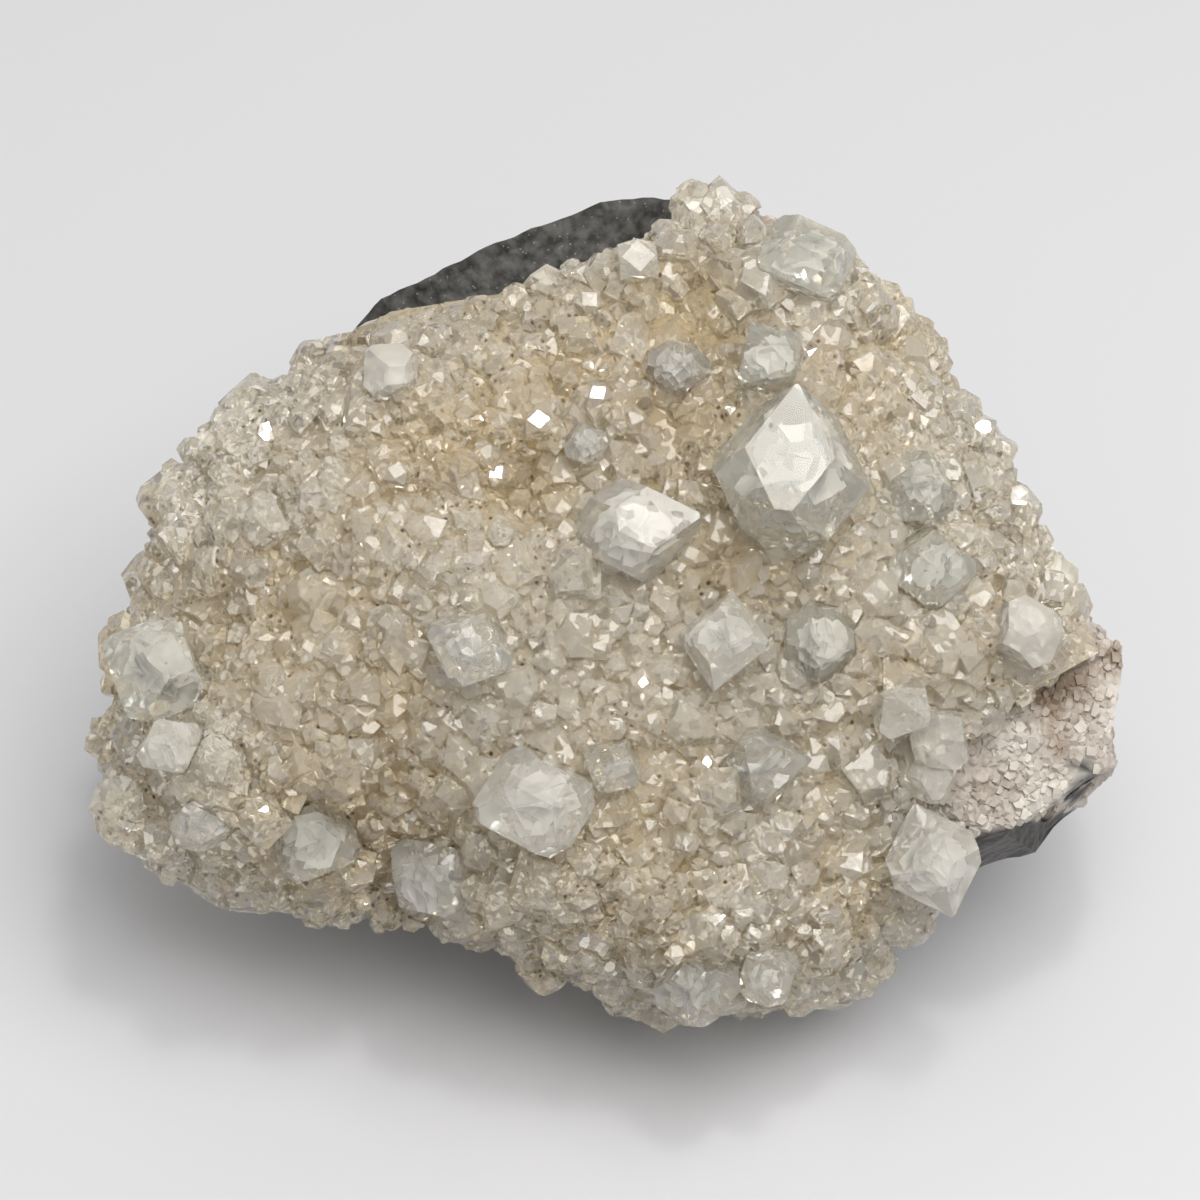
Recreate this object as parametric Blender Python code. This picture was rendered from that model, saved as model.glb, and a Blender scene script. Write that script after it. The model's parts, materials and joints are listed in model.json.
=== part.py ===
"""Apophyllite cluster on basalt.

A hand-sized mineral specimen: a broken lump of dark basalt, coated with a white chalcedony layer, on which a
crust of small apophyllite crystals has grown. The largest crystals stand proud of the crust, each seated in a
socket of its own.

Everything is modelled in the face frame first: X to the right, Y up the crystal face and Z straight out of
it, with the origin in the middle of the lump. The whole specimen is then leaned back and set down on the flat
spot under the basalt, so that the row frame has +Z up and its origin on that spot, straight below the middle
of the lump. Lengths are in metres.
"""

import math
import random

import bmesh
import bpy
from mathutils import Matrix, Quaternion, Vector, noise

MM = 0.001

# How the specimen stands: its face leans back from the horizontal, and its middle is this high above the
# table
FACE_LEAN = math.radians(40)
MIDDLE_HEIGHT = 34 * MM

# The table seen from the face frame: the way down to it, and the turn and shift that stand the specimen on it
DOWN = Vector((0, -math.sin(FACE_LEAN), -math.cos(FACE_LEAN)))
STAND = Matrix.Translation((0, 0, MIDDLE_HEIGHT)) @ Matrix.Rotation(FACE_LEAN, 4, "X")

# The lump: how far it reaches in front of and behind its middle, how square its rounded rim is, and how much
# the layers grow towards its faces and not straight out of its middle
FRONT_DEPTH = 17 * MM
BACK_DEPTH = 27 * MM
RIM_SQUARENESS = 2.5
FACING = 2.5

# The layers, from the outside in, how much deeper the crust is made before it is trimmed, how far a bare coat
# lies under the skin and how lumpy it is, and the free gap between pieces that touch
CRUST_THICKNESS = 4.0 * MM
CRUST_TRIM = 1.0 * MM
CHALCEDONY_THICKNESS = 2.6 * MM
BARE_COAT_DEPTH = 0.8 * MM
COAT_LUMPS = 0.7 * MM
COAT_LUMP_COUNT = 9
GAP = 0.3 * MM

# The grid that every layer shares, so that facing surfaces nest: columns round the face, and rings from its
# centre to the crust's edge, on to the chalcedony's edge, over the seam there, and on to the middle of the
# back
COLUMNS = 30
CRUST_RINGS = 8
CHALCEDONY_RINGS = 2
SEAM_RINGS = 2
BACK_RINGS = 9
ALL_RINGS = CRUST_RINGS + CHALCEDONY_RINGS + BACK_RINGS
SEAM = math.radians(0.7)
EVENNESS = 1.55

# Edge of the crystal skin seen square on to the face: degrees anticlockwise from the right, and reach in mm
OUTLINE = (
    (0, 46.6), (10, 40.8), (20, 39.4), (30, 38.8), (40, 39.0), (50, 42.0), (62, 40.8), (75, 39.4), (84, 36.4),
    (96, 31.0), (108, 30.4), (120, 32.4), (132, 34.4), (144, 34.8), (156, 39.2), (168, 41.8), (180, 41.6),
    (190, 46.4), (200, 49.2), (209, 50.0), (220, 44.8), (231, 35.8), (240, 32.6), (258, 34.2), (270, 36.0),
    (282, 39.8), (300, 42.2), (312, 43.0), (322, 42.4), (330, 47.8), (336, 52.0), (348, 53.0), (354, 50.4),
)

# Where the crust and the chalcedony end, as degrees from the middle of the face towards the back
CRUST_EDGE = (
    (8, 88), (24, 94), (38, 90), (48, 80), (60, 76), (72, 77), (84, 78), (100, 77), (122, 79), (140, 92),
    (160, 100), (180, 106), (215, 110), (240, 104), (285, 103), (300, 100), (312, 90), (322, 76), (332, 68),
    (342, 70), (352, 78),
)
CHALCEDONY_EDGE = (
    (8, 100), (24, 101), (38, 99), (48, 97), (60, 95), (72, 93), (84, 87), (100, 86), (122, 87), (140, 98),
    (160, 105), (180, 111), (215, 115), (240, 109), (285, 108), (300, 107), (312, 100), (322, 90), (332, 88),
    (342, 94), (352, 99),
)

# How far the basalt stands out past the crust's edge, in mm, and negative where crystals overhang it, with
# the angle off the face where it stands out most and the spread of the ledge in degrees
LEDGE_MIDDLE = 93
LEDGE_SPREAD = 26
BASALT_LEDGE = (
    (0, -0.4), (24, 0.8), (36, 2.0), (48, 0.4), (60, -0.8), (74, -0.6), (84, 2.0), (92, 4.8), (102, 4.4),
    (110, 4.6), (120, 3.4), (132, 1.2), (144, 0.4), (160, -2.0), (200, -4.0), (270, -4.0), (300, -3.0),
    (314, -1.0), (324, 2.0), (334, 2.0), (344, -0.6),
)

# Swells and hollows of the face: right and up from its middle, spread and height, in mm
RELIEF = (
    (-10, 1, 9, 3.6), (-8, 11, 5, -5.0), (6, 14, 6, -3.0), (-34, 11, 8, 2.4), (-31, 0, 5, -2.6),
    (-37, -12, 8, 3.0), (-25, -24, 7, -5.0), (-15, -20, 6, -2.4), (-6, -19, 8, 3.6), (9, 28, 6, -5.0),
    (18, 10, 8, 2.6), (25, -16, 5, -3.0), (22, -29, 4, -3.0), (12, -26, 9, 2.6), (37, -13, 8, -2.4),
    (20, 31, 6, 2.0), (-20, 22, 9, 1.0),
)

# The foot that carries the specimen: the basalt swells towards the table, a little behind the lump's middle
FOOT_WAY = Vector((0, -0.52, -0.854))
FOOT_HEIGHT = 9.5 * MM
FOOT_SPREAD = math.radians(38)

# Lumps of the broken basalt: the height of the coarse ones, the share of it that the fine ones have, and how
# many of each there are in a radian
ROCK_LUMPS = 0.9 * MM
FINE_SHARE = 0.5
COARSE_COUNT = 6.5
FINE_COUNT = 15

# Flat broken faces of the basalt: outward direction in the face frame, and distance from the middle in mm
BASALT_BREAKS = (
    ((0.10, 0.16, -1.0), 26.5), ((-0.35, 0.70, -0.62), 29.0), ((0.42, 0.66, -0.62), 31.0),
    ((0.86, 0.10, -0.50), 36.0), ((-0.84, -0.06, -0.55), 35.5), ((0.66, -0.48, -0.58), 35.0),
    ((-0.60, -0.50, -0.62), 35.0), ((0.30, -0.72, -0.62), 38.0), ((0.62, 0.45, -0.64), 32.0),
    ((-0.66, 0.42, -0.62), 31.5), ((-0.34, 0.24, -0.90), 27.5), ((0.46, 0.06, -0.88), 29.0),
)

# The coat shows level with the crust where it reaches past the crust's edge by these many degrees or more
BARE_COAT = (5, 17)

# Two pits where gas bubbles left the chalcedony open down to the basalt: face position and radius, in mm
PITS = ((43.4, -16.6, 1.7), (42.2, -19.9, 1.1))
PIT_ANGLE = math.radians(86)
PIT_DEPTH = 20 * MM
PIT_SIDES = 10

# Pyramid faces fall this much for each unit of distance from the crystal's axis, measured along both prism
# axes. Faces grow unevenly: the steepness, the prism's faces and the ends vary by these factors. Roots end
# this far inside the crust, and each crystal is cut from a blank of this size
STEEPNESS = 0.95
STEEPNESS_RANGE = (0.9, 1.12)
SIDE_RANGE = (0.92, 1.06)
END_RANGE = (0.95, 1.04)
ROOT_DEPTH = 2.0 * MM
DEEPEST_ROOT = 2.8 * MM
ROOT_SHARE = 0.7
CRYSTAL_BLANK = 60 * MM
FLATNESS = math.radians(0.4)
MERGE_DISTANCE = 1e-6
CUT_DISTANCE = 1e-7
HALVINGS = 30

# Colours of the minerals
CREAM = (0.72, 0.63, 0.47)
CLEAR = (0.80, 0.80, 0.76)
GREEN = (0.70, 0.74, 0.66)
MILKY = (0.78, 0.76, 0.71)
WHITE = (0.80, 0.78, 0.76)
DARK = (0.045, 0.045, 0.043)

# The large crystals, each a piece of its own: right and up on the face, width and length in mm, the way the
# long axis points (degrees round the face, degrees away from straight out), turn about that axis, lift above
# the skin in mm, share of the pointed end that is there (1 is a full point), and colour
LARGE_CRYSTALS = {
    "crystal_tall_point": (16.2, 10.6, 11.2, 18.0, 86, 62, 40, 2.6, 1.00, GREEN),
    "crystal_fan": (14.9, 21.1, 7.6, 9.0, 118, 58, 20, 1.2, 1.00, GREEN),
    "crystal_window": (6.9, 20.6, 5.8, 7.0, 80, 76, 8, 1.0, 0.78, CLEAR),
    "crystal_top_shelf": (18.8, 31.0, 10.4, 11.0, 66, 48, 45, 0.4, 0.70, GREEN),
    "crystal_left_spur": (-39.4, -6.2, 9.0, 12.0, 150, 70, 30, 1.4, 0.90, GREEN),
    "crystal_left_block": (-38.4, -12.9, 6.4, 7.6, 110, 40, 10, 1.0, 0.72, MILKY),
    "crystal_knuckle": (-35.3, -20.0, 5.4, 6.4, 250, 50, 30, 1.6, 0.80, CLEAR),
    "crystal_hollow": (-25.6, -21.6, 8.6, 11.0, 240, 62, 25, 0.8, 0.86, GREEN),
    "crystal_corner": (-14.8, -24.6, 9.6, 10.6, 215, 48, 12, 1.6, 0.74, CLEAR),
    "crystal_milk_block": (-5.7, -17.6, 10.6, 12.0, 70, 34, 35, 1.2, 0.76, MILKY),
    "crystal_side_block": (1.2, -14.6, 5.8, 6.6, 60, 30, 0, 0.8, 0.80, CLEAR),
    "crystal_roof": (14.4, -14.6, 7.6, 9.6, 10, 66, 45, 1.2, 1.00, CLEAR),
    "crystal_right_hexagon": (28.6, -22.4, 8.6, 11.6, 108, 84, 2, 2.8, 0.96, MILKY),
    "crystal_foot": (8.6, -34.8, 8.0, 10.0, 276, 66, 12, 0.8, 0.80, CLEAR),
    "crystal_foot_small": (15.2, -33.8, 5.6, 8.0, 290, 58, 30, 0.6, 0.80, CLEAR),
    "crystal_right_ledge": (38.6, -3.0, 6.6, 8.6, 20, 64, 0, 0.4, 0.82, CREAM),
    "crystal_flat_pyramid": (29.2, 10.2, 7.2, 8.0, 40, 24, 40, 0.0, 0.96, GREEN),
    "crystal_green_block": (30.2, 3.0, 8.4, 9.4, 80, 36, 10, -0.2, 0.74, GREEN),
    "crystal_grey_block": (19.6, -3.8, 6.6, 10.0, 84, 80, 6, 0.2, 0.76, GREEN),
    "crystal_round": (10.6, -3.4, 9.2, 10.0, 150, 26, 22, 2.0, 0.70, MILKY),
    "crystal_centre": (-11.2, -4.0, 7.6, 8.4, 60, 30, 8, 1.6, 0.68, CLEAR),
    "crystal_wide": (2.9, 6.2, 8.6, 14.0, 12, 74, 30, 0.8, 0.94, MILKY),
    "crystal_bead": (-1.2, 13.6, 4.2, 4.8, 100, 30, 10, 1.6, 0.70, CLEAR),
    "crystal_cream_face": (-18.2, 19.8, 5.4, 7.0, 135, 72, 4, 1.8, 0.90, CREAM),
}

# A clump of three crystals grown through each other at the crust's edge, joined in one piece, as above
# without the colour
CLUMP = (
    (26.4, -9.6, 6.4, 7.4, 130, 40, 20, 1.4, 0.90), (30.0, -12.2, 6.2, 7.4, 40, 36, 5, 1.2, 0.74),
    (29.6, -15.8, 4.2, 6.4, 280, 60, 30, 0.8, 0.86),
)

# Smaller crystals that are easy to pick out, fused to the crust, in the same way
PLACED_CRYSTALS = (
    (3.4, 29.4, 3.4, 4.4, 20, 60, 10, 1.0, 0.74), (6.4, 28.4, 2.8, 3.6, 70, 30, 20, 0.8, 0.70),
    (14.2, 28.6, 6.0, 6.6, 200, 30, 20, 0.4, 0.74), (10.8, 35.4, 5.4, 7.0, 90, 66, 45, 0.6, 1.00),
    (-15.8, 18.0, 4.0, 4.8, 60, 30, 15, 0.6, 0.74), (-14.6, 23.4, 2.8, 3.6, 30, 40, 30, 0.8, 0.74),
    (-5.0, 16.0, 2.6, 3.4, 80, 60, 10, 0.8, 0.70), (-0.2, 18.4, 2.6, 3.6, 50, 60, 30, 0.8, 0.80),
    (1.6, 16.4, 3.6, 4.2, 140, 20, 30, 1.0, 0.70), (3.2, 11.8, 3.2, 3.8, 20, 30, 5, 1.2, 0.70),
    (-17.6, 11.4, 3.0, 3.6, 300, 40, 5, 0.8, 0.70), (-9.4, 10.6, 2.8, 4.6, 80, 66, 25, 0.8, 0.90),
    (-31.0, 3.8, 4.4, 5.0, 40, 34, 5, 0.6, 0.72), (-25.4, 0.8, 3.6, 5.0, 210, 50, 30, 0.6, 1.00),
    (-25.0, -4.0, 3.4, 5.0, 200, 60, 45, 0.8, 1.00), (-18.0, -3.6, 4.2, 5.6, 100, 40, 40, 0.6, 1.00),
    (-27.8, -15.6, 4.0, 4.6, 260, 40, 10, 1.0, 0.70), (-23.2, -15.4, 4.6, 5.4, 290, 36, 20, 1.0, 0.72),
    (-33.6, -17.4, 4.8, 6.4, 320, 66, 30, 0.6, 0.84), (-8.6, -26.0, 3.6, 4.2, 80, 30, 30, 1.2, 0.74),
    (-10.4, -29.0, 3.2, 4.2, 300, 50, 0, 1.4, 0.70), (22.0, -22.6, 3.8, 5.4, 130, 84, 3, 1.8, 0.94),
    (7.6, -17.6, 4.0, 6.0, 130, 50, 10, 1.2, 0.86), (4.0, -9.0, 5.6, 6.8, 20, 40, 30, 0.2, 0.80),
    (30.4, -4.6, 6.6, 7.4, 300, 30, 5, 0.2, 0.78), (36.0, 10.0, 3.6, 4.4, 30, 40, 20, 0.6, 0.80),
    (20.4, -26.8, 3.4, 4.2, 250, 30, 20, 1.2, 0.74), (4.4, -25.4, 6.0, 6.8, 80, 24, 15, 0.2, 0.76),
    (9.6, -28.8, 5.4, 6.0, 60, 30, 30, 0.6, 0.78), (-39.4, 9.0, 5.4, 8.0, 170, 66, 12, 0.4, 0.80),
    (-44.4, -20.4, 4.6, 5.6, 190, 60, 10, 0.8, 0.74), (-46.4, -13.4, 3.4, 4.0, 180, 60, 30, 1.0, 0.74),
    (-34.0, 17.6, 4.6, 5.6, 140, 60, 30, 0.4, 0.80), (-27.6, 23.0, 4.4, 5.0, 130, 60, 10, 0.4, 0.80),
    (24.6, -36.0, 4.6, 5.4, 300, 60, 10, 0.8, 0.76), (20.2, -31.6, 4.2, 5.0, 280, 40, 30, 0.8, 0.76),
    (-26.6, -29.6, 4.0, 5.0, 250, 60, 30, 0.8, 0.80), (-20.6, -30.6, 4.4, 5.6, 260, 70, 10, 0.8, 0.86),
)

# The small crystals between them, spread evenly over the crust: how many, how many places are tried for each,
# how far from the middle they reach, their widths, lengths and lifts as shares of the width, shares of the
# pointed end, most lean, and how close they may stand as a share of both widths
SMALL_CRYSTALS = 66
TRIES = 40
FULL_REACH = 52 * MM
SMALL_WIDTHS = (3.8 * MM, 7.2 * MM)
SMALL_LENGTHS = (1.2, 1.6)
SMALL_LIFTS = (-0.36, -0.12)
SMALL_SHARES = (0.66, 0.76, 1.0)
MOST_LEAN = math.radians(52)
CROWDING = 0.4
SEED = 30


def table_value(table, degrees):
    """Reads a table of (degrees, value) at an angle, straight between entries and joined round the circle."""
    degrees %= 360
    last = table[-1][0] - 360, table[-1][1]
    first = table[0][0] + 360, table[0][1]
    entries = (last, *table, first)
    for (start, low), (end, high) in zip(entries, entries[1:]):
        if start <= degrees <= end:
            return low + (high - low) * (degrees - start) / (end - start)
    raise ValueError("the table doesn't reach round the circle")


def direction(column, polar):
    """Unit vector at an angle round the face, and one from straight out of it towards the back, in
    radians."""
    away = math.sin(polar)
    return Vector((away * math.cos(column), away * math.sin(column), math.cos(polar)))


def skin(column, polar):
    """Point of the crystal skin, and the way the layers grow there.

    The skin is a rounded plate with the relief of its face. It grows nearly square to that plate: the way out
    of its middle, turned towards the face by FACING.
    """
    reach = table_value(OUTLINE, math.degrees(column)) * MM
    depth = FRONT_DEPTH if polar < math.pi / 2 else BACK_DEPTH
    side = (abs(math.sin(polar)) / reach) ** RIM_SQUARENESS
    face = (abs(math.cos(polar)) / depth) ** RIM_SQUARENESS
    plate = direction(column, polar) * (side + face) ** (-1 / RIM_SQUARENESS)
    growth = Vector((plate.x, plate.y, FACING * plate.z)).normalized()
    swell = 0
    for right, up, spread, height in RELIEF:
        away = math.hypot(plate.x - right * MM, plate.y - up * MM) / (spread * MM)
        swell += height * MM * math.exp(-away * away)
    return plate + growth * swell * min(1.0, max(0.0, FACING * math.cos(polar))), growth


def bare_rock(column, polar):
    """Point of the bare basalt: the skin's shape with its ledges, the foot, rough grain and flat breaks."""
    point, growth = skin(column, polar)
    off_rim = (math.degrees(polar) - LEDGE_MIDDLE) / LEDGE_SPREAD
    outward = direction(column, polar)
    rise = table_value(BASALT_LEDGE, math.degrees(column)) * MM * math.exp(-off_rim * off_rim)
    rise += FOOT_HEIGHT * math.exp(-(outward.angle(FOOT_WAY) / FOOT_SPREAD) ** 2)
    rise += ROCK_LUMPS * noise.noise(outward * COARSE_COUNT)
    rise += ROCK_LUMPS * FINE_SHARE * noise.noise(outward * FINE_COUNT)
    point += growth * rise
    for normal, distance in BASALT_BREAKS:
        beyond = point.dot(Vector(normal).normalized())
        if beyond > distance * MM:
            point *= distance * MM / beyond
    return point


def even_angle(polar):
    """Turns an angle off the face into one whose even steps are even lengths along the plate."""
    return math.atan2(EVENNESS * math.sin(polar), math.cos(polar))


def ring_angle(column, ring):
    """Angle off the face of one ring of the shared grid, which follows the edges of both layers."""
    degrees = math.degrees(column)
    crust = math.radians(table_value(CRUST_EDGE, degrees))
    chalcedony = math.radians(table_value(CHALCEDONY_EDGE, degrees))
    if ring <= CRUST_RINGS:
        even = even_angle(crust) * ring / CRUST_RINGS
        return math.atan2(math.sin(even), EVENNESS * math.cos(even))
    ring -= CRUST_RINGS
    if ring <= CHALCEDONY_RINGS:
        return crust + (chalcedony - crust) * ring / CHALCEDONY_RINGS
    ring -= CHALCEDONY_RINGS
    seam = chalcedony + SEAM * min(ring, SEAM_RINGS)
    return seam + (math.pi - seam) * max(0, ring - SEAM_RINGS) / (BACK_RINGS - SEAM_RINGS)


def under_skin(column, ring, depth):
    point, growth = skin(column, ring_angle(column, ring))
    return point - growth * depth


def crust_outside(column, ring):
    return under_skin(column, ring, 0)


def crust_inside(column, ring):
    """Deeper than the crust ends, because `kept_free` trims it."""
    return under_skin(column, ring, CRUST_THICKNESS + CRUST_TRIM)


def chalcedony_outside(column, ring):
    """Under the crust, and rising nearly level with it where the coat reaches well past the crust's edge."""
    depth = CRUST_THICKNESS + GAP
    if ring > CRUST_RINGS:
        degrees = math.degrees(column)
        shown = table_value(CHALCEDONY_EDGE, degrees) - table_value(CRUST_EDGE, degrees)
        rise = min(1.0, max(0.0, (shown - BARE_COAT[0]) / (BARE_COAT[1] - BARE_COAT[0])))
        lumps = COAT_LUMPS * noise.noise(direction(column, ring_angle(column, ring)) * COAT_LUMP_COUNT)
        depth -= rise * (CRUST_THICKNESS - BARE_COAT_DEPTH + lumps)
    return under_skin(column, ring, depth)


def chalcedony_inside(column, ring):
    return under_skin(column, ring, CRUST_THICKNESS + GAP + CHALCEDONY_THICKNESS)


def basalt_outside(column, ring):
    """Under both layers, and past the seam at their edge out to the bare rock."""
    if ring <= CRUST_RINGS + CHALCEDONY_RINGS + 1:
        return under_skin(column, ring, CRUST_THICKNESS + CHALCEDONY_THICKNESS + 2 * GAP)
    return bare_rock(column, ring_angle(column, ring))


def kept_free(column, ring, depth):
    """Room of the layers below, where what grows on them stops: this deep under the skin where there is
    crust."""
    if ring <= CRUST_RINGS:
        return under_skin(column, ring, depth)
    outward = direction(column, ring_angle(column, ring))
    if ring <= CRUST_RINGS + CHALCEDONY_RINGS:
        return chalcedony_outside(column, ring) + outward * GAP
    return basalt_outside(column, ring) + outward * GAP


def grid_surface(shape, rings, place):
    """Adds the shared grid, a UV sphere cut off after some rings, with each point where `place` puts it."""
    made = bmesh.ops.create_uvsphere(shape, u_segments=COLUMNS, v_segments=ALL_RINGS, radius=1)
    faces = list({face for vertex in made["verts"] for face in vertex.link_faces})
    bmesh.ops.triangulate(shape, faces=faces, quad_method="FIXED")
    beyond = []
    for vertex in made["verts"]:
        ring = round(math.acos(max(-1.0, min(1.0, vertex.co.z))) / math.pi * ALL_RINGS)
        column = math.atan2(vertex.co.y, vertex.co.x)
        vertex.co = place(column, ring)
        if ring > rings:
            beyond.append(vertex)
    bmesh.ops.delete(shape, geom=beyond, context="VERTS")
    return [vertex for vertex in made["verts"] if vertex.is_valid]


def shell(rings, outside, inside):
    """Closed layer between two surfaces of the grid, with a wall along its edge."""
    shape = bmesh.new()
    grid_surface(shape, rings, outside)
    inner = set(grid_surface(shape, rings, inside))
    bmesh.ops.reverse_faces(shape, faces=[face for face in shape.faces if inner.issuperset(face.verts)])
    edge = [edge for edge in shape.edges if edge.is_boundary]
    wall = bmesh.ops.bridge_loops(shape, edges=edge)
    bmesh.ops.triangulate(shape, faces=wall["faces"])
    bmesh.ops.recalc_face_normals(shape, faces=shape.faces[:])
    return shape


def cut_away(shape, point, outward):
    """Cuts off what lies beyond a plane and closes the cut with one face."""
    everything = shape.verts[:] + shape.edges[:] + shape.faces[:]
    bmesh.ops.bisect_plane(
        shape, geom=everything, dist=CUT_DISTANCE, plane_co=point, plane_no=outward, clear_outer=True)
    rim = [edge for edge in shape.edges if edge.is_boundary]
    if rim:
        bmesh.ops.contextual_create(shape, geom=rim)


def crystal_faces(width, length, share, rng, ends=(1, -1)):
    """Flat faces of one crystal about its middle: a square prism, with pyramid faces over its edges at its
    ends.

    Each face is its outward direction and its distance from the middle. A share under 1 leaves a small square
    end in place of each point, and a crystal with one end has a flat root. Real faces grow unevenly, so every
    distance varies a little.
    """
    faces = []
    for x, y in ((1, 0), (0, 1), (-1, 0), (0, -1)):
        faces.append((Vector((x, y, 0)), width / 2 * rng.uniform(*SIDE_RANGE)))
    fall = STEEPNESS * rng.uniform(*STEEPNESS_RANGE)
    for end in ends:
        for x, y in ((1, 1), (-1, 1), (-1, -1), (1, -1)):
            slope = Vector((fall * x, fall * y, end))
            faces.append((slope.normalized(), length / 2 * rng.uniform(*END_RANGE) / slope.length))
        if share < 1:
            faces.append((Vector((0, 0, end)), length / 2 - (1 - share) * fall * width))
    if ends == (1,):
        faces.append((Vector((0, 0, -1)), length * ROOT_SHARE))
    return faces


def crystal(faces, seat, growth, axis, turn, lift, swollen=0.0):
    """One crystal on the skin, with its root cut off flat inside the crust; `swollen` moves its faces out."""
    shape = bmesh.new()
    bmesh.ops.create_cube(shape, size=CRYSTAL_BLANK)
    for outward, distance in faces:
        cut_away(shape, outward * (distance + swollen), outward)
    stand = axis.to_track_quat("Z", "Y") @ Quaternion((0, 0, 1), turn)
    middle = seat + growth * lift
    placed = Matrix.Translation(middle) @ stand.to_matrix().to_4x4()
    bmesh.ops.transform(shape, matrix=placed, verts=shape.verts)
    cut_away(shape, seat - growth * (ROOT_DEPTH + swollen), -growth)
    bmesh.ops.triangulate(shape, faces=shape.faces[:])
    return shape


def polar_at(column, reach):
    """Angle off the face at which the skin is this far from the middle, seen square on to the face."""
    low, high = 0.0, math.pi / 2
    for _ in range(HALVINGS):
        middle = (low + high) / 2
        point = skin(column, middle)[0]
        if math.hypot(point.x, point.y) < reach:
            low = middle
        else:
            high = middle
    return low


def placed_crystal(values, rng, ends=(1, -1)):
    """Reads one row of the crystal tables into what `crystal` takes."""
    right, up, width, length, azimuth, lean, turn, lift, share = values
    column = math.atan2(up, right)
    seat, growth = skin(column, polar_at(column, math.hypot(right, up) * MM))
    axis = direction(math.radians(azimuth), math.radians(lean))
    faces = crystal_faces(width * MM, length * MM, share, rng, ends)
    return faces, seat, growth, axis, math.radians(turn), lift * MM


def small_crystals(taken, rng):
    """Spreads small crystals over the crust, away from its bare edges and from the places already taken."""
    seats = []
    crystals = []
    tries = 0
    while len(crystals) < SMALL_CRYSTALS and tries < TRIES * SMALL_CRYSTALS:
        tries += 1
        column = rng.uniform(-math.pi, math.pi)
        width = rng.uniform(*SMALL_WIDTHS)
        seat, growth = skin(column, ring_angle(column, CRUST_RINGS * rng.random()))
        if math.hypot(seat.x, seat.y) < rng.uniform(0, FULL_REACH):
            continue
        if any((seat - other).length < (width + room) * CROWDING for other, room in taken + seats):
            continue
        lean = rng.uniform(0, MOST_LEAN)
        sideways = growth.orthogonal().normalized()
        sideways.rotate(Quaternion(growth, rng.uniform(0, 2 * math.pi)))
        axis = growth * math.cos(lean) + sideways * math.sin(lean)
        length = width * rng.uniform(*SMALL_LENGTHS)
        faces = crystal_faces(width, length, rng.choice(SMALL_SHARES), rng, ends=(1,))
        turn = rng.uniform(0, math.pi / 2)
        lift = width * rng.uniform(*SMALL_LIFTS)
        seats.append((seat, width))
        crystals.append((faces, seat, growth, axis, turn, lift))
    return crystals


def material(name, colour, roughness):
    """Plain stand-in for a mineral's look."""
    made = bpy.data.materials.new(name)
    made.use_nodes = True
    surface = made.node_tree.nodes["Principled BSDF"]
    surface.inputs["Base Color"].default_value = (*colour, 1)
    surface.inputs["Roughness"].default_value = roughness
    surface.inputs["Metallic"].default_value = 0
    return made


def add_object(name, shape, collection, finish=None):
    """Puts a shape into the scene, leaned back and set down on the table."""
    bmesh.ops.transform(shape, matrix=STAND, verts=shape.verts)
    mesh = bpy.data.meshes.new(name)
    shape.to_mesh(mesh)
    shape.free()
    if finish:
        mesh.materials.append(finish)
    made = bpy.data.objects.new(name, mesh)
    collection.objects.link(made)
    return made


def add_room(name, depth, keep):
    """A hidden guide that trims what grows on the layers below."""
    shape = bmesh.new()
    grid_surface(shape, ALL_RINGS, lambda column, ring: kept_free(column, ring, depth))
    guide = add_object(name, shape, keep)
    guide.hide_render = True
    guide.display_type = "WIRE"
    return guide


def add_cutters(name, shapes, keep):
    """A collection of hidden guides for one Boolean."""
    collection = bpy.data.collections.new(name)
    keep.children.link(collection)
    for number, shape in enumerate(shapes):
        guide = add_object(f"{name}_{number + 1:03d}", shape, collection)
        guide.hide_render = True
        guide.display_type = "WIRE"
    return collection


def apply_boolean(piece, operation, collection=None, other=None):
    """Joins or cuts a piece and makes the result its mesh."""
    boolean = piece.modifiers.new(operation.title(), "BOOLEAN")
    boolean.operation = operation
    boolean.solver = "EXACT"
    if collection:
        boolean.operand_type = "COLLECTION"
        boolean.collection = collection
    else:
        boolean.object = other
    bpy.context.view_layer.update()
    result = bpy.data.meshes.new_from_object(piece.evaluated_get(bpy.context.evaluated_depsgraph_get()))
    piece.modifiers.remove(boolean)
    old = piece.data
    piece.data = result
    bpy.data.meshes.remove(old)


def keep_largest_body(piece):
    """Removes crumbs that a cut has left loose, and bubbles that a union has closed in."""
    shape = bmesh.new()
    shape.from_mesh(piece.data)
    bmesh.ops.remove_doubles(shape, verts=shape.verts, dist=MERGE_DISTANCE)
    left = set(shape.verts)
    bodies = []
    while left:
        body = set()
        edge_of_body = [left.pop()]
        while edge_of_body:
            vertex = edge_of_body.pop()
            body.add(vertex)
            for edge in vertex.link_edges:
                neighbour = edge.other_vert(vertex)
                if neighbour in left:
                    left.discard(neighbour)
                    edge_of_body.append(neighbour)
        bodies.append(body)
    bodies.sort(key=len)
    loose = [vertex for body in bodies[:-1] for vertex in body]
    bmesh.ops.delete(shape, geom=loose, context="VERTS")
    bmesh.ops.dissolve_limit(shape, angle_limit=FLATNESS, verts=shape.verts, edges=shape.edges)
    bmesh.ops.triangulate(shape, faces=shape.faces[:])
    shape.to_mesh(piece.data)
    shape.free()


def boxes_meet(one, other):
    """True where the bounding boxes of two objects overlap."""
    for axis in range(3):
        one_values = [corner[axis] for corner in one.bound_box]
        other_values = [corner[axis] for corner in other.bound_box]
        if max(one_values) < min(other_values) or max(other_values) < min(one_values):
            return False
    return True


for old_object in list(bpy.data.objects):
    bpy.data.objects.remove(old_object, do_unlink=True)

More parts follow.
